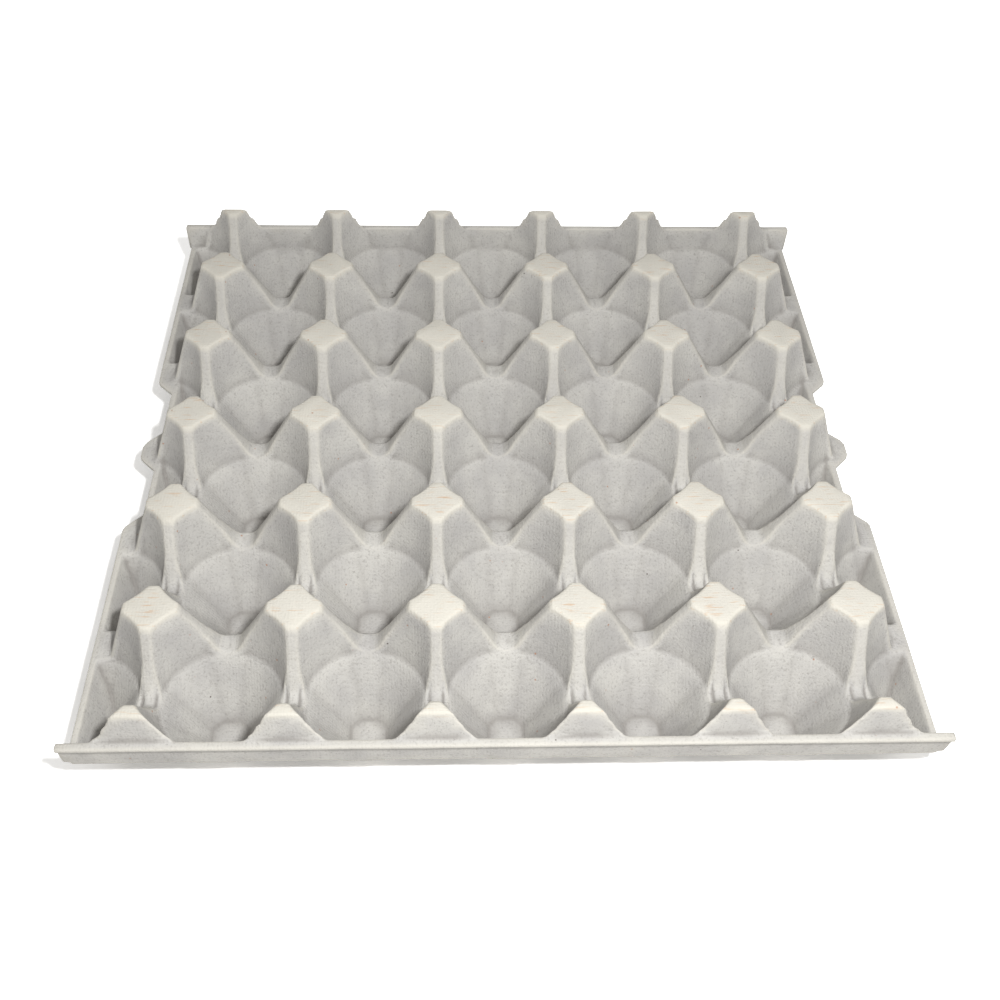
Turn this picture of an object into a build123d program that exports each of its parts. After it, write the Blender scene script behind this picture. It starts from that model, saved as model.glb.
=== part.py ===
"""Moulded pulp egg tray for 30 eggs, made as one thin shell.

Frame: millimetres, +Z up, origin on the floor plane in the middle of the tray. X runs along the
five cells, Y along the six. The shell is what lies between two forms: the upper form, whose skin
is the face that the eggs rest on, and the same form sunk by the thickness of the pulp.
"""

from build123d import *
from math import atan, cos, hypot, sqrt
import os

# Driving dimensions, in millimetres
PITCH = 49.0  # from cell to cell, both ways
CELLS_ACROSS = 5  # whole cells along X, with half a cell beyond each end
CELLS_DEEP = 6  # whole cells along Y
HEIGHT = 46.0  # from the floor plane to the tops of the posts
WALL = 2.0  # thickness of the pulp
SADDLE_DROP = 22.0  # from the post tops down to the saddles between them
RIM_DROP = 12.0  # from the post tops down to the front and back lips

# Posts between the cells, with a diamond top
POST_REACH = 9.2  # from the axis to a corner of the diamond
POST_TIP = 3.8  # width of the ridge at that corner
RIDGE_RUN = 12.6  # how far a ridge leans out on its way down to the saddle
OUTER_RIDGE_RUN = 7.4  # the same for the ridges that face the left and right rims
SADDLE_ROUND = 4.4  # radius at the bottom of a saddle
LAND_ROUND = 2.0  # radius where an outer ridge meets the flat land beside it

# Cells, round above and with four flats
CELL_RADIUS = 20.5  # at the ledge round the cell
CELL_REACH = 19.6  # from the axis to a flat, at the ledge
HALF_CELL_REACH = 17.7  # the same for the flats of the half cells that face the posts' rows
FLOOR_RADIUS = 7.0
FLOOR_REACH = 6.45
LEDGE = 0.75  # width and depth of the ledge
FLAT_LEAN = 0.2  # how far the flats above the ledge lean out, per millimetre of height

# Ribs between the posts of a column
RIB_WIDTH = 3.2
RIB_PROUD = 0.8
GROOVE_WIDTH = 1.3
GROOVE_DEPTH = 0.8
RIB_DROP = 13.5  # from the post tops down to the upper end of a rib

# Edges of the tray
END_CUT = 4.9  # the end posts are cut this far inside their own axis
END_POST_RUN = 1.6  # how far that cut face leans out between the top and the lip
END_WALL_RUN = 1.6  # how far an end cell's wall leans out between the ledge and the lip
LIP_REACH = 0.0  # from the axes of the end posts out to the edge of the lip
LIP_EAR = 1.5  # how far the lips run past the left and right rims
SIDE_CUT = 1.0  # the left and right rims are this far inside the half cells' axes
RIM_WIDTH = 2.2  # flat width of those rims at the half cells
SIDE_WALL_LEAN = 0.33  # how far a half cell's outer wall leans in, per millimetre of depth
NOTCH_DEPTH = 6.8  # finger notches beside the middle tab of each side
NOTCH_CORNER = 4.0  # rounding of the tabs beside them
TAB_HALF = 4.0  # half the straight length of the middle tab
TAB_END = 7.0  # from a side tab's post row to the start of its notch

# Sizes that follow from them
TOP = HEIGHT
SADDLE = HEIGHT - SADDLE_DROP
RIM = HEIGHT - RIM_DROP
LEDGE_Z = SADDLE - LEDGE
HALF = PITCH / 2
SIDE_AXIS = (CELLS_ACROSS + 1) * HALF
END_AXIS = CELLS_DEEP * HALF
SIDE_EDGE = SIDE_AXIS - SIDE_CUT
LIP_EDGE = END_AXIS + LIP_REACH
OVER = 5.0  # how far a cutter runs past what it cuts
# the diamond's corner, seen from the axis of the nearest cell, gives the cell's width at the top
TOP_RADIUS = hypot(HALF - POST_REACH, HALF - POST_TIP / 2)
UPPER_SLOPE = (TOP_RADIUS - CELL_RADIUS - LEDGE) / (TOP - LEDGE_Z)
BOWL_SLOPE = (CELL_RADIUS - FLOOR_RADIUS) / (LEDGE_Z - WALL)

COLUMNS = [(i - CELLS_ACROSS / 2) * PITCH for i in range(CELLS_ACROSS + 1)]
ROWS = [(j - CELLS_DEEP / 2) * PITCH for j in range(CELLS_DEEP + 1)]
CELLS_X = [(i - (CELLS_ACROSS - 1) / 2) * PITCH for i in range(CELLS_ACROSS)]
CELLS_Y = [(j - (CELLS_DEEP - 1) / 2) * PITCH for j in range(CELLS_DEEP)]


def aside(slope, sunk):
    """How far a wall moves sideways, when it leans by slope and its skin is sunk by sunk."""
    return sunk * hypot(1, slope)


def along_x(points, start, end):
    """A prism from start to end along X, with its outline given in Y and Z."""
    return Pos(start, 0, 0) * extrude(Plane.YZ * make_face(Polyline(*points, close=True)), end - start)


def along_y(points, start, end):
    """A prism from start to end along Y, with its outline given in X and Z."""
    face = Plane.XZ * make_face(Polyline(*points, close=True))
    return Pos(0, start, 0) * extrude(face, -(end - start))


def funnel(low, high, reach_x, reach_y, lean_x, lean_y, radius, slope):
    """A cone between two heights with four flats. The reaches and the radius are those at low."""
    tall = high - low
    spread_x, spread_y = reach_x + lean_x * tall, reach_y + lean_y * tall
    wide = 2 * (radius + slope * tall)
    cone = Pos(0, 0, (low + high) / 2) * Cone(radius, radius + slope * tall, tall)
    flats_x = [(-reach_x, low), (reach_x, low), (spread_x, high), (-spread_x, high)]
    flats_y = [(-reach_y, low), (reach_y, low), (spread_y, high), (-spread_y, high)]
    return cone & along_y(flats_x, -wide, wide) & along_x(flats_y, -wide, wide)


def cell_void(reach_y, sunk):
    """The air in one cell, from its floor to over the post tops, grown by sunk."""
    ledge, floor, roof = LEDGE_Z, WALL - sunk, TOP + OVER
    lean_x = (CELL_REACH - FLOOR_REACH) / (LEDGE_Z - WALL)
    lean_y = (reach_y - FLOOR_REACH) / (LEDGE_Z - WALL)
    bowl = funnel(
        floor,
        ledge,
        FLOOR_REACH - lean_x * sunk + aside(lean_x, sunk),
        FLOOR_REACH - lean_y * sunk + aside(lean_y, sunk),
        lean_x,
        lean_y,
        FLOOR_RADIUS - BOWL_SLOPE * sunk + aside(BOWL_SLOPE, sunk),
        BOWL_SLOPE,
    )
    upper = funnel(
        ledge - (sunk and LEDGE),
        roof,
        CELL_REACH + LEDGE + aside(FLAT_LEAN, sunk),
        reach_y + LEDGE + aside(FLAT_LEAN, sunk),
        FLAT_LEAN,
        FLAT_LEAN,
        CELL_RADIUS + LEDGE + aside(UPPER_SLOPE, sunk),
        UPPER_SLOPE,
    )
    return bowl + upper


def valley_face(run, rounding, flat, sunk, floor=None):
    """The outline of the air between two neighbouring posts, centred on the middle between them."""
    bottom = SADDLE - sunk if floor is None else floor
    slope = run / SADDLE_DROP
    top_half = HALF - POST_REACH + aside(slope, sunk)
    low_half = top_half - slope * (TOP - bottom)
    roof_half = top_half + slope * OVER
    roof = TOP + OVER
    outline = [(-roof_half, roof), (-low_half, bottom), (low_half, bottom), (roof_half, roof)]
    face = make_face(Polyline(*outline, close=True))
    corners = face.vertices().filter_by(lambda v: v.Y < bottom + 0.01)
    # two corners share the flat between them, so the rounding is what that flat leaves room for
    turn = atan(1 / slope)
    room = 0.98 * low_half * (1 + cos(turn)) / sqrt(1 - cos(turn) ** 2)
    return fillet(corners, min(rounding + sunk, room) if flat is None else rounding)


def valleys(sunk):
    """The air between the posts: straight valleys that run right across the tray."""
    profile = valley_face(RIDGE_RUN, SADDLE_ROUND, None, sunk)
    outer = valley_face(OUTER_RIDGE_RUN, LAND_ROUND, True, sunk)
    long_y, long_x = LIP_EDGE + OVER, SIDE_EDGE + OVER
    made = []
    for x in CELLS_X:
        made.append(Pos(x, long_y, 0) * extrude(Plane.XZ * profile, 2 * long_y))
    for x in (-SIDE_AXIS, SIDE_AXIS):
        made.append(Pos(x, long_y, 0) * extrude(Plane.XZ * outer, 2 * long_y))
    for y in CELLS_Y:
        made.append(Pos(-long_x, y, 0) * extrude(Plane.YZ * profile, 2 * long_x))
    return made


def end_wall(sunk, side):
    """What stands outside the end cells, up to the lip. side is 1 at the back and -1 in front."""
    slope = END_WALL_RUN / (RIM - LEDGE_Z)
    inner = END_AXIS - HALF + CELL_REACH + 0.3 + aside(slope, sunk)
    outer = LIP_EDGE + (sunk and OVER)
    low, high = -(sunk and OVER), RIM - sunk
    outline = [
        (inner - slope * (LEDGE_Z - low), low),
        (inner + slope * (high - LEDGE_Z), high),
        (outer, high),
        (outer, low),
    ]
    reach = SIDE_EDGE + LIP_EAR + OVER
    return along_x([(side * y, z) for y, z in outline], -reach, reach)


def side_wall(sunk, side, y):
    """What stands outside one half cell, up to the rim. side is 1 on the right."""
    notched = abs(y) < PITCH
    inner = SIDE_EDGE - RIM_WIDTH - (NOTCH_DEPTH if notched else 0) + aside(SIDE_WALL_LEAN, sunk)
    outer = SIDE_EDGE + OVER
    low, high = -(sunk and OVER), SADDLE - sunk
    outline = [
        (inner - SIDE_WALL_LEAN * (SADDLE - low), low),
        (inner - SIDE_WALL_LEAN * sunk, high),
        (outer, high),
        (outer, low),
    ]
    return along_y([(side * x, z) for x, z in outline], y - HALF, y + HALF)


def form(sunk):
    """Everything below the tray's upper skin, or below that skin sunk by sunk."""
    lean = END_POST_RUN / RIM_DROP
    top = TOP - sunk
    low = -(sunk and OVER)
    cut = END_AXIS - END_CUT - aside(lean, sunk)
    outline = [
        (-cut - lean * sunk, top),
        (cut + lean * sunk, top),
        (cut + lean * (TOP - low), low),
        (-cut - lean * (TOP - low), low),
    ]
    reach = SIDE_EDGE + OVER
    block = along_x(outline, -reach, reach)
    whole = cell_void(CELL_REACH, sunk)
    half = cell_void(HALF_CELL_REACH, sunk)
    voids = [Pos(x, y, 0) * whole for x in CELLS_X for y in CELLS_Y]
    voids += [Pos(x, y, 0) * half for x in (-SIDE_AXIS, SIDE_AXIS) for y in CELLS_Y]
    block = block - voids - valleys(sunk)
    walls = [end_wall(sunk, side) for side in (-1, 1)]
    walls += [side_wall(sunk, side, y) for side in (-1, 1) for y in CELLS_Y]
    return block + walls


def rib_pair(y):
    """One gap between two posts of a column: the outline of its rib and of its grooves."""
    slope = RIDGE_RUN / SADDLE_DROP
    top_half = HALF - POST_REACH
    start = top_half - slope * RIB_DROP
    start_z = TOP - RIB_DROP
    low_half = top_half - slope * SADDLE_DROP

    def trough(rise):
        floor = SADDLE + rise
        side = low_half + slope * rise - rise * 0.6
        path = [(-start, start_z), (-side - 1, floor + 2.2), (-side + 1.2, floor), (side - 1.2, floor)]
        path += [(side + 1, floor + 2.2), (start, start_z)]
        return path

    rib = trough(RIB_PROUD)[::-1] + [(-start, SADDLE - 1), (start, SADDLE - 1)]
    groove = trough(-GROOVE_DEPTH) + [(start, TOP), (-start, TOP)]
    return [(y + a, z) for a, z in rib], [(y + a, z) for a, z in groove]


def ribbed(block):
    """The upper form with a rib and two grooves in each gap of each column."""
    ribs, grooves = [], []
    for y in CELLS_Y:
        rib, groove = rib_pair(y)
        for x in COLUMNS:
            ribs.append(along_x(rib, x - RIB_WIDTH / 2, x + RIB_WIDTH / 2))
            for side in (-1, 1):
                middle = x + side * (RIB_WIDTH + GROOVE_WIDTH) / 2
                grooves.append(along_x(groove, middle - GROOVE_WIDTH / 2, middle + GROOVE_WIDTH / 2))
    return block + ribs - grooves


def plan():
    """The tray's outline seen from above, with lips, tabs and finger notches."""
    notch = SIDE_EDGE - NOTCH_DEPTH
    lip_start = END_AXIS - HALF + CELL_REACH + END_WALL_RUN
    side_tab = PITCH - TAB_END
    right = [
        (SIDE_EDGE + LIP_EAR, -LIP_EDGE),
        (SIDE_EDGE + LIP_EAR, -lip_start),
        (SIDE_EDGE, -lip_start),
        (SIDE_EDGE, -side_tab),
        (notch, -side_tab + NOTCH_DEPTH),
        (notch, -TAB_HALF - NOTCH_DEPTH),
        (SIDE_EDGE, -TAB_HALF),
        (SIDE_EDGE, TAB_HALF),
        (notch, TAB_HALF + NOTCH_DEPTH),
        (notch, side_tab - NOTCH_DEPTH),
        (SIDE_EDGE, side_tab),
        (SIDE_EDGE, lip_start),
        (SIDE_EDGE + LIP_EAR, lip_start),
        (SIDE_EDGE + LIP_EAR, LIP_EDGE),
    ]
    face = make_face(Polyline(*right, *[(-x, y) for x, y in reversed(right)], close=True))
    rounded = [v for v in face.vertices() if abs(v.Y) < side_tab + 1 and abs(abs(v.X) - SIDE_EDGE) < 1]
    return fillet(rounded, NOTCH_CORNER)


def egg_tray():
    """The shell: the upper form, cut to the tray's outline, less the same form sunk by the wall."""
    upper = ribbed(form(0)) & extrude(plan(), TOP)
    return upper - form(WALL)


os.makedirs("parts", exist_ok=True)
tray = egg_tray()
export_step(tray, "parts/egg_tray.step")
print("egg_tray", tray.volume, tray.bounding_box(), len(tray.solids()), len(tray.faces()))
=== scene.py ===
# %% [markdown]
# # A moulded-pulp egg tray
# This notebook finishes a tray for thirty eggs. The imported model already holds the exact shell: posts,
# cells, rims and lips. What is missing is what makes it paper pulp: soft edges, an uneven skin, a fibrous
# colour and a matt finish. The cells below add these one at a time.

# %% Load the fixed frame
from math import cos, radians, sin, tau

import bpy
from mathutils import Matrix, Vector


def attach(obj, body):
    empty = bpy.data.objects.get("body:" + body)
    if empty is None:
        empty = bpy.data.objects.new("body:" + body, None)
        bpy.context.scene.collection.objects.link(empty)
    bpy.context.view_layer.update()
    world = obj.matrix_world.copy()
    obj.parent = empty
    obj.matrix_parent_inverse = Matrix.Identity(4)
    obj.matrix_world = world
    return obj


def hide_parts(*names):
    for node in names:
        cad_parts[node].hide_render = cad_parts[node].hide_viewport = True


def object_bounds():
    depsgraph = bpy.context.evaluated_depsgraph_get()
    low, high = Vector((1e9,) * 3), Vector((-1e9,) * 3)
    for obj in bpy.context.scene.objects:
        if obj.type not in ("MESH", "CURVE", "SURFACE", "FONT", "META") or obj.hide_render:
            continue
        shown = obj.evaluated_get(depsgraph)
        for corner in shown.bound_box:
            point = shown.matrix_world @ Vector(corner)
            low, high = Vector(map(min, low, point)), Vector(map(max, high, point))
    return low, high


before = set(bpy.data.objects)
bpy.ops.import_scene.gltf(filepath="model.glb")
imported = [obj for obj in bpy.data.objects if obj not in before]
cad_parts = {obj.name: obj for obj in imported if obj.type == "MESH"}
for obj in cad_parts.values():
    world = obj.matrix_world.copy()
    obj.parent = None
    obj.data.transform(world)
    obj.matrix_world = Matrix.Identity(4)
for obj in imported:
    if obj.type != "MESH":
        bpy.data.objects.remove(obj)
cad_low, cad_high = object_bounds()
MM = 0.001  # one millimetre in the scene's metres
print("tray size in mm:", [round(side / MM, 1) for side in cad_high - cad_low])

# %% [markdown]
# ## Two small helpers
# Every node tree here is built with one function. It adds a node, sets its options and fills its inputs:
# a socket is linked, a node lends its first live output, and anything else is a plain value. Colours are
# written as the hex values that a designer would read off a swatch, and a second function turns them into
# the linear light that the renderer works in.


# %% Helpers for nodes and colours
def add(tree, kind, inputs=None, **settings):
    """Adds one node with its settings, and links or sets the inputs that are given."""
    node = tree.nodes.new(kind)
    for name, value in settings.items():
        setattr(node, name, value)
    for key, value in (inputs or {}).items():
        if isinstance(value, bpy.types.Node):
            value = next(socket for socket in value.outputs if socket.enabled)
        if isinstance(value, bpy.types.NodeSocket):
            tree.links.new(value, node.inputs[key])
        else:
            node.inputs[key].default_value = value
    return node


def linear(hex_colour):
    """An sRGB hex colour as linear red, green, blue and alpha."""
    parts = [int(hex_colour[i : i + 2], 16) / 255 for i in (1, 3, 5)]
    return (*[p / 12.92 if p <= 0.04045 else ((p + 0.055) / 1.055) ** 2.4 for p in parts], 1.0)


# %% [markdown]
# ## The finish: undyed moulded pulp
# The real tray is waste paper beaten to a slurry, sucked on to a wire mould and dried. That leaves a dead
# matt surface in a warm grey, cloudy where fibres gathered, with a fine grain, a few reddish and dark
# specks of print and bark, and paler, creamy post tops. On top of that, every ridge gets a painted
# highlight and every groove gets painted shade.
#
# One picture wrapped round the tray could show all this, but it would stretch on the steep posts. Solid
# patterns that fill space don't stretch, so each tint below is a pattern of its own, sized in millimetres
# on the tray itself, and the tints are laid over each other like glazes.

# %% Colours of the pulp
PULP_MID = "#b4b2af"
# dark pulp: the gaps in the grain, and painted shade in the grooves
PULP_DARK_AND_PAINTED_SHADE = "#85817d"
PULP_PALE = "#c3c1bc"
# cream: the post tops, and a painted highlight on the ridges
TOP_CREAM_AND_PAINTED_HIGHLIGHT = "#d0ccc1"
STRAND_TAN = "#c19a73"
SPECK_DARK = "#4b413a"
SPECK_RUST = "#a5683f"

# %% Sizes and strengths of its patterns
CLOUD_MM = 16.0  # patches where more fibres gathered
GRAIN_MM = 0.9  # single tufts of fibre
GRAIN_TINT = 0.55  # how dark the gaps between tufts are
SPECK_CELL_MM = 7.0  # each patch of this size may hold one dark speck
SPECK_RADIUS = 0.055  # as a share of the patch, and so for the rust ones
SPECK_SHARE = 0.1  # share of the patches that do hold one
RUST_CELL_MM = 5.0
RUST_RADIUS = 0.1
RUST_SHARE = 0.14
TOP_FADE_MM = 2.5  # the creamy tint begins this far below the post tops
TOP_FULL_MM = 0.6  # and is full this far below them
STRAND_STRETCH = (0.12, 1.1, 1.0)  # strands on the post tops lie across the tray
EDGE_MM = 0.28  # how sharp a ridge has to be for its full painted highlight, and a groove for its full painted shade
EDGE_START_MM = 0.02


# %% The tints, in the order that they are laid on
def specks(tree, coords, cell_mm, radius, share, strength):
    """A mask of round specks, one in each of a share of the pattern's patches."""
    cells = add(tree, "ShaderNodeTexVoronoi", {"Vector": coords, "Scale": 1 / cell_mm})
    rim = {"Value": cells.outputs["Distance"], "From Min": radius, "From Max": radius * 0.6}
    inside = add(tree, "ShaderNodeMapRange", rim)
    draw = add(tree, "ShaderNodeSeparateColor", {"Color": cells.outputs["Color"]})
    picked = add(tree, "ShaderNodeMath", {0: draw, 1: share}, operation="LESS_THAN")
    shown = add(tree, "ShaderNodeMath", {0: inside, 1: picked}, operation="MULTIPLY")
    return add(tree, "ShaderNodeMath", {0: shown, 1: strength}, operation="MULTIPLY")


def top_masks(tree, coords, height):
    """Masks of the creamy post tops and of the tan strands on them."""
    top = cad_high.z / MM
    fade = {"Value": height, "From Min": top - TOP_FADE_MM, "From Max": top - TOP_FULL_MM}
    tops = add(tree, "ShaderNodeMapRange", fade)
    cream = add(tree, "ShaderNodeMath", {0: tops, 1: 0.75}, operation="MULTIPLY")
    long = add(tree, "ShaderNodeVectorMath", {0: coords, 1: STRAND_STRETCH}, operation="MULTIPLY")
    noise = {"Vector": long, "Scale": 1.0, "Detail": 2.0, "Roughness": 0.55}
    field = add(tree, "ShaderNodeTexNoise", noise)
    thin = {"Value": field, "From Min": 0.6, "From Max": 0.68, "To Max": 0.6}
    strands = add(tree, "ShaderNodeMapRange", thin)
    return cream, add(tree, "ShaderNodeMath", {0: tops, 1: strands}, operation="MULTIPLY")


def tints(tree, coords, height, grain):
    """Pairs of a mask and the colour that it lays over what is there."""
    clouds = {"Vector": coords, "Scale": 1 / CLOUD_MM, "Detail": 3.0, "Roughness": 0.55}
    field = add(tree, "ShaderNodeTexNoise", clouds)
    cloud = add(tree, "ShaderNodeMapRange", {"Value": field, "From Min": 0.35, "From Max": 0.65})
    gaps = {"Value": grain, "From Min": 0.45, "From Max": 0.0, "To Max": GRAIN_TINT}
    cream, strands = top_masks(tree, coords, height)
    # The crease paints shade into grooves in the dark pulp colour and a highlight on ridges in the cream.
    painted_light_crease = add(tree, "ShaderNodeAttribute", attribute_name="painted_light_crease").outputs["Fac"]
    groove_painted_shade = {"Value": painted_light_crease, "From Min": EDGE_START_MM, "From Max": EDGE_MM, "To Max": 0.75}
    ridge_painted_highlight = {"Value": painted_light_crease, "From Min": -EDGE_START_MM, "From Max": -EDGE_MM, "To Max": 0.5}
    return [
        (cloud, PULP_PALE),
        (add(tree, "ShaderNodeMapRange", gaps), PULP_DARK_AND_PAINTED_SHADE),
        (cream, TOP_CREAM_AND_PAINTED_HIGHLIGHT),
        (strands, STRAND_TAN),
        # painted shade in the grooves, then a painted highlight on the ridges
        (add(tree, "ShaderNodeMapRange", groove_painted_shade), PULP_DARK_AND_PAINTED_SHADE),
        (add(tree, "ShaderNodeMapRange", ridge_painted_highlight), TOP_CREAM_AND_PAINTED_HIGHLIGHT),
        (specks(tree, coords, RUST_CELL_MM, RUST_RADIUS, RUST_SHARE, 0.6), SPECK_RUST),
        (specks(tree, coords, SPECK_CELL_MM, SPECK_RADIUS, SPECK_SHARE, 0.85), SPECK_DARK),
    ]


# %% [markdown]
# ## Grain and wire marks as relief
# Under a lamp the same grain that tints the pulp also catches light, and so does the print of the mould's
# wire cloth. Both are a fraction of a millimetre deep, far too fine to model, so they are a bump map: it
# only tilts the surface as the light sees it. Pulp hardly shines, so its roughness is near the top.

# %% Build the pulp material
WIRE_MM = 1.1  # spacing of the mould's wire cloth, drawn a little coarse so that it shows
WIRE_HEIGHT = 0.12  # of the wire marks, as a share of the grain's
RELIEF_MM = 0.5
RELIEF_STRENGTH = 0.35
PULP_ROUGHNESS = 0.93
PULP_IOR = 1.45
PULP_SPECULAR = 0.2


def relief(tree, axes, grain):
    """The bump that the grain and the crossing wires make together."""
    waves = []
    for axis in ("X", "Y"):
        turns = {0: axes.outputs[axis], 1: tau / WIRE_MM}
        angle = add(tree, "ShaderNodeMath", turns, operation="MULTIPLY")
        waves.append(add(tree, "ShaderNodeMath", {0: angle}, operation="SINE"))
    cloth = add(tree, "ShaderNodeMath", {0: waves[0], 1: waves[1]}, operation="ADD")
    wire = add(tree, "ShaderNodeMath", {0: cloth, 1: WIRE_HEIGHT}, operation="MULTIPLY")
    height = add(tree, "ShaderNodeMath", {0: grain, 1: wire}, operation="ADD")
    depth = {"Strength": RELIEF_STRENGTH, "Distance": RELIEF_MM * MM, "Height": height}
    return add(tree, "ShaderNodeBump", depth)


def moulded_pulp():
    """Undyed moulded paper pulp, matt and fibrous, with painted shade in its grooves and a painted
    highlight on its ridges.
    """
    material = bpy.data.materials.new("moulded_pulp")
    material.use_nodes = True
    tree = material.node_tree
    tree.nodes.clear()
    place = add(tree, "ShaderNodeTexCoord").outputs["Object"]
    per_metre = (1 / MM,) * 3
    coords = add(tree, "ShaderNodeVectorMath", {0: place, 1: per_metre}, operation="MULTIPLY")
    axes = add(tree, "ShaderNodeSeparateXYZ", {"Vector": coords})
    tufts = {"Vector": coords, "Scale": 1 / GRAIN_MM, "Detail": 4.0, "Roughness": 0.7}
    field = add(tree, "ShaderNodeTexNoise", tufts)
    grain = add(tree, "ShaderNodeMapRange", {"Value": field, "From Min": 0.3, "From Max": 0.7})

    colour = linear(PULP_MID)
    for mask, tint in tints(tree, coords, axes.outputs["Z"], grain):
        layer = {"Factor": mask, 6: colour, 7: linear(tint)}
        colour = add(tree, "ShaderNodeMix", layer, data_type="RGBA").outputs[2]
    surface = {
        "Base Color": colour,
        "Roughness": PULP_ROUGHNESS,
        "IOR": PULP_IOR,
        "Specular IOR Level": PULP_SPECULAR,
        "Normal": relief(tree, axes, grain),
    }
    shader = add(tree, "ShaderNodeBsdfPrincipled", surface)
    add(tree, "ShaderNodeOutputMaterial", {"Surface": shader})
    return material


pulp = moulded_pulp()
print("material:", pulp.name, "with", len(pulp.node_tree.nodes), "nodes")

# %% [markdown]
# ## The shell with a pulp skin
# The imported shell has machined edges, which pulp never has. Rounding them with a bevel fails where many
# creases meet, as they do round every cell. So a copy of the shell is rebuilt from small even voxels,
# which gives every place on it points to move. A Geometry Nodes tree then rounds the edges by averaging
# neighbours, and lifts the skin a little with two sizes of noise, as drying does.
#
# The tree also keeps every point inside the shell's own box, and notes on each point how far it lies from
# the mean of its neighbours. That number is the painted_light_crease that the material reads to paint
# shade into grooves, where it is above zero, and a highlight on ridges, where it is below zero. A last
# thinning leaves flat stretches with few faces.

# %% Sizes of the skin
WELD_MM = 0.001
VOXEL_MM = 0.6
SOFTENING = 2  # rounds of averaging
WOBBLE_MM = 0.45  # slow unevenness from drying
WOBBLE_SIZE_MM = 30.0
TUFT_MM = 0.12  # small lumps of fibre
TUFT_SIZE_MM = 3.5
CREASE_REACH = 10  # rounds of averaging that tell a ridge from a groove
SEED = 7
MOST_TRIANGLES = 190_000


# %% Parts of the tree
def softened(tree, shell, rounds):
    """The shell with each point moved to the mean of its neighbours, some rounds over."""
    around = {"Value": add(tree, "GeometryNodeInputPosition"), "Iterations": rounds}
    mean = add(tree, "GeometryNodeBlurAttribute", around, data_type="FLOAT_VECTOR")
    return add(tree, "GeometryNodeSetPosition", {"Geometry": shell, "Position": mean})


def uneven(tree, shell, given):
    """The shell lifted in and out along its normals by a slow noise and a fine one."""
    parts = []
    for amount, size in (("Wobble", "Wobble size"), ("Tuft", "Tuft size")):
        scale = add(tree, "ShaderNodeMath", {0: 1.0, 1: given[size]}, operation="DIVIDE")
        place = add(tree, "GeometryNodeInputPosition")
        noise = {"Vector": place, "W": given["Seed"], "Scale": scale}
        field = add(tree, "ShaderNodeTexNoise", noise, noise_dimensions="4D")
        centred = add(tree, "ShaderNodeMath", {0: field, 1: 0.5}, operation="SUBTRACT")
        swing = {0: centred, 1: given[amount]}
        parts.append(add(tree, "ShaderNodeMath", swing, operation="MULTIPLY"))
    lift = add(tree, "ShaderNodeMath", {0: parts[0], 1: parts[1]}, operation="ADD")
    along = {0: add(tree, "GeometryNodeInputNormal"), "Scale": lift}
    push = add(tree, "ShaderNodeVectorMath", along, operation="SCALE")
    return add(tree, "GeometryNodeSetPosition", {"Geometry": shell, "Offset": push})


def boxed(tree, shell, low, high):
    """The shell with no point outside the box from low to high."""
    place = add(tree, "GeometryNodeInputPosition")
    above = add(tree, "ShaderNodeVectorMath", {0: place, 1: low}, operation="MAXIMUM")
    inside = add(tree, "ShaderNodeVectorMath", {0: above, 1: high}, operation="MINIMUM")
    return add(tree, "GeometryNodeSetPosition", {"Geometry": shell, "Position": inside})


def creased(tree, shell, rounds):
    """The shell with each point's depth below its neighbours' mean noted on it, in millimetres."""
    place = add(tree, "GeometryNodeInputPosition")
    around = {"Value": place, "Iterations": rounds}
    mean = add(tree, "GeometryNodeBlurAttribute", around, data_type="FLOAT_VECTOR")
    apart = add(tree, "ShaderNodeVectorMath", {0: mean, 1: place}, operation="SUBTRACT")
    along = {0: apart, 1: add(tree, "GeometryNodeInputNormal")}
    depth = add(tree, "ShaderNodeVectorMath", along, operation="DOT_PRODUCT").outputs["Value"]
    painted_light_crease = add(tree, "ShaderNodeMath", {0: depth, 1: MM}, operation="DIVIDE")
    noted = {"Geometry": shell, "Name": "painted_light_crease", "Value": painted_light_crease}
    return add(tree, "GeometryNodeStoreNamedAttribute", noted, data_type="FLOAT", domain="POINT")


# %% The whole tree
SKIN_INPUTS = {
    "Softening": ("NodeSocketInt", SOFTENING),
    "Wobble": ("NodeSocketFloat", WOBBLE_MM * MM),
    "Wobble size": ("NodeSocketFloat", WOBBLE_SIZE_MM * MM),
    "Tuft": ("NodeSocketFloat", TUFT_MM * MM),
    "Tuft size": ("NodeSocketFloat", TUFT_SIZE_MM * MM),
    "Seed": ("NodeSocketFloat", float(SEED)),
    "Low": ("NodeSocketVector", tuple(cad_low)),
    "High": ("NodeSocketVector", tuple(cad_high)),
    "Crease reach": ("NodeSocketInt", CREASE_REACH),
}


def skin_tree(material):
    """A Geometry Nodes tree that gives a closed shell the skin of pulp."""
    tree = bpy.data.node_groups.new("pulp_skin", "GeometryNodeTree")
    sockets = tree.interface
    sockets.new_socket("Shell", in_out="INPUT", socket_type="NodeSocketGeometry")
    for name, (socket_type, _) in SKIN_INPUTS.items():
        sockets.new_socket(name, in_out="INPUT", socket_type=socket_type)
    sockets.new_socket("Skin", in_out="OUTPUT", socket_type="NodeSocketGeometry")
    given = add(tree, "NodeGroupInput").outputs
    shell = softened(tree, given["Shell"], given["Softening"])
    shell = uneven(tree, shell, given)
    shell = boxed(tree, shell, given["Low"], given["High"])
    shell = creased(tree, shell, given["Crease reach"])
    real = add(tree, "GeometryNodeRealizeInstances", {"Geometry": shell})
    painted = add(tree, "GeometryNodeSetMaterial", {"Geometry": real, "Material": material})
    add(tree, "NodeGroupOutput", {"Skin": painted})
    return tree


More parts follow.
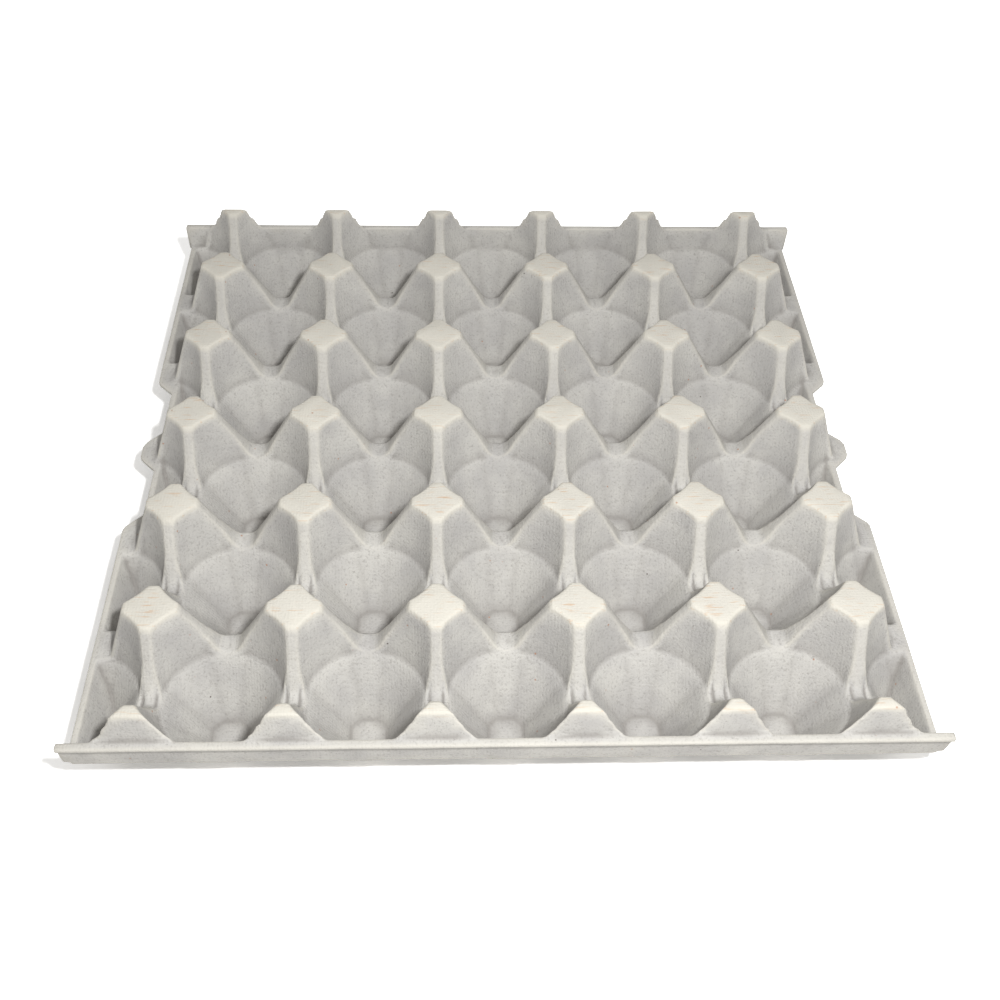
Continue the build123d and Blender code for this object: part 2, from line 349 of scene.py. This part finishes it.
# %% Give the shell its modifiers and make it a plain mesh
def skin_modifiers(shell, material):
    """Welds, rebuilds and skins the shell, and returns the last modifier, which thins it."""
    shell.modifiers.new("weld", "WELD").merge_threshold = WELD_MM * MM
    voxels = shell.modifiers.new("voxels", "REMESH")
    voxels.mode = "VOXEL"
    voxels.voxel_size = VOXEL_MM * MM
    skin = shell.modifiers.new("skin", "NODES")
    skin.node_group = skin_tree(material)
    for item in skin.node_group.interface.items_tree:
        if item.name in SKIN_INPUTS:
            skin[item.identifier] = SKIN_INPUTS[item.name][1]
    thin = shell.modifiers.new("thin", "DECIMATE")
    thin.use_collapse_triangulate = True
    return thin


def skinned(node, material):
    """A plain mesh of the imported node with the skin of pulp."""
    shell = bpy.data.objects.new("tray_shell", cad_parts[node].data.copy())
    bpy.context.scene.collection.objects.link(shell)
    thin = skin_modifiers(shell, material)
    evaluated = shell.evaluated_get(bpy.context.evaluated_depsgraph_get())
    full = sum(len(face.vertices) - 2 for face in evaluated.data.polygons)
    thin.ratio = min(1.0, MOST_TRIANGLES / full)
    bpy.context.view_layer.update()
    evaluated = shell.evaluated_get(bpy.context.evaluated_depsgraph_get())
    mesh = bpy.data.meshes.new_from_object(evaluated)
    bpy.data.objects.remove(shell)
    mesh.polygons.foreach_set("use_smooth", [True] * len(mesh.polygons))
    tray = bpy.data.objects.new("pulp_egg_tray", mesh)
    bpy.context.scene.collection.objects.link(tray)
    print("triangles before and after thinning:", full, len(mesh.polygons))
    return tray


tray = skinned("egg_tray", pulp)
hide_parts("egg_tray")
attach(tray, "root")

# %% [markdown]
# ## The floor
# The tray lies on plain pale paper. A lit floor comes out grey in a picture, and more light would bleach
# the tray, so only the camera sees the paper brighter than it is. It then shows as white and keeps its
# soft shadow, while the light that it throws back on the tray stays that of real paper.

# %% Make the floor
FLOOR_SIZE_MM = 6000.0
FLOOR_PAPER = "#e9e8e6"
FLOOR_GAIN = 1.9  # how bright the camera sees it


def make_floor():
    """A flat sheet of pale paper under the tray."""
    half = FLOOR_SIZE_MM * MM / 2
    mesh = bpy.data.meshes.new("floor")
    corners = [(-half, -half, 0), (half, -half, 0), (half, half, 0), (-half, half, 0)]
    mesh.from_pydata(corners, [], [(0, 1, 2, 3)])
    floor = bpy.data.objects.new("floor", mesh)
    bpy.context.scene.collection.objects.link(floor)
    material = bpy.data.materials.new("pale_paper")
    material.use_nodes = True
    tree = material.node_tree
    tree.nodes.clear()
    seen = add(tree, "ShaderNodeLightPath").outputs["Is Camera Ray"]
    bright = (FLOOR_GAIN, FLOOR_GAIN, FLOOR_GAIN, 1.0)
    shades = {"Factor": seen, 6: linear(FLOOR_PAPER), 7: bright}
    paper = add(tree, "ShaderNodeMix", shades, data_type="RGBA").outputs[2]
    surface = add(tree, "ShaderNodeBsdfDiffuse", {"Color": paper})
    add(tree, "ShaderNodeOutputMaterial", {"Surface": surface})
    mesh.materials.append(material)


make_floor()
print("floor of", FLOOR_SIZE_MM, "mm")

# %% [markdown]
# ## Room light and lamp
# A pale room lights the tray from all sides. One small lamp close to the camera, a little above it and to
# its right, adds a thin dark band of shade along the left of every post, which is what makes the posts
# stand out from the cells behind them.

# %% Light the tray
ROOM_COLOUR = "#f4f3f1"
ROOM_STRENGTH = 0.5
LAMP_WATTS = 2.9
LAMP_SIZE_MM = 36.0
LAMP_PLACE_MM = (62.0, -345.0, 455.0)


def light_room():
    """A pale room that the camera sees as plain white."""
    world = bpy.data.worlds.new("room")
    world.use_nodes = True
    tree = world.node_tree
    tree.nodes.clear()
    pale = {"Color": linear(ROOM_COLOUR), "Strength": ROOM_STRENGTH}
    room = add(tree, "ShaderNodeBackground", pale)
    white = add(tree, "ShaderNodeBackground", {"Color": (1, 1, 1, 1), "Strength": 1.0})
    seen = add(tree, "ShaderNodeLightPath").outputs["Is Camera Ray"]
    both = add(tree, "ShaderNodeMixShader", {0: seen, 1: room, 2: white})
    add(tree, "ShaderNodeOutputWorld", {"Surface": both})
    bpy.context.scene.world = world


def make_lamp():
    """A small round lamp that points at the middle of the post tops."""
    light = bpy.data.lights.new("lamp", "AREA")
    light.energy = LAMP_WATTS
    light.shape = "DISK"
    light.size = LAMP_SIZE_MM * MM
    lamp = bpy.data.objects.new("lamp", light)
    bpy.context.scene.collection.objects.link(lamp)
    lamp.location = Vector(LAMP_PLACE_MM) * MM
    aim = Vector((0, 0, cad_high.z)) - lamp.location
    lamp.rotation_euler = aim.to_track_quat("-Z", "Y").to_euler()


light_room()
make_lamp()
print("lamp of", LAMP_WATTS, "W, room at", ROOM_STRENGTH)

# %% [markdown]
# ## The camera
# It looks down into the cells from the front, as one would at a table. Its turn is built from three
# angles: how far it dips, how far it swings to the right, and how far it leans about its own line of
# sight. Writing out the three directions it makes is clearer than a chain of Euler angles.

# %% Place the camera
CAMERA_PLACE_MM = (-18.35, -357.4, 375.4)
CAMERA_PITCH = 46.85  # degrees below the horizon
CAMERA_YAW = 3.21  # degrees to the right of straight ahead
CAMERA_ROLL = 2.07  # degrees about the line of sight
LENS_MM = 43.58
SENSOR_MM = 36.0


def make_camera():
    """The scene's camera, at the angle that the tray is looked at from."""
    data = bpy.data.cameras.new("camera")
    data.lens = LENS_MM
    data.sensor_width = SENSOR_MM
    camera = bpy.data.objects.new("camera", data)
    bpy.context.scene.collection.objects.link(camera)
    pitch, yaw, roll = radians(CAMERA_PITCH), radians(CAMERA_YAW), radians(CAMERA_ROLL)
    ahead = Vector((sin(yaw) * cos(pitch), cos(yaw) * cos(pitch), -sin(pitch)))
    level = Vector((cos(yaw), -sin(yaw), 0))
    upright = level.cross(ahead)
    right = cos(roll) * level + sin(roll) * upright
    up = -sin(roll) * level + cos(roll) * upright
    turn = Matrix((right, up, -ahead)).transposed().to_4x4()
    camera.matrix_world = Matrix.Translation(Vector(CAMERA_PLACE_MM) * MM) @ turn
    bpy.context.scene.camera = camera


make_camera()
bpy.context.scene.view_settings.view_transform = "Standard"
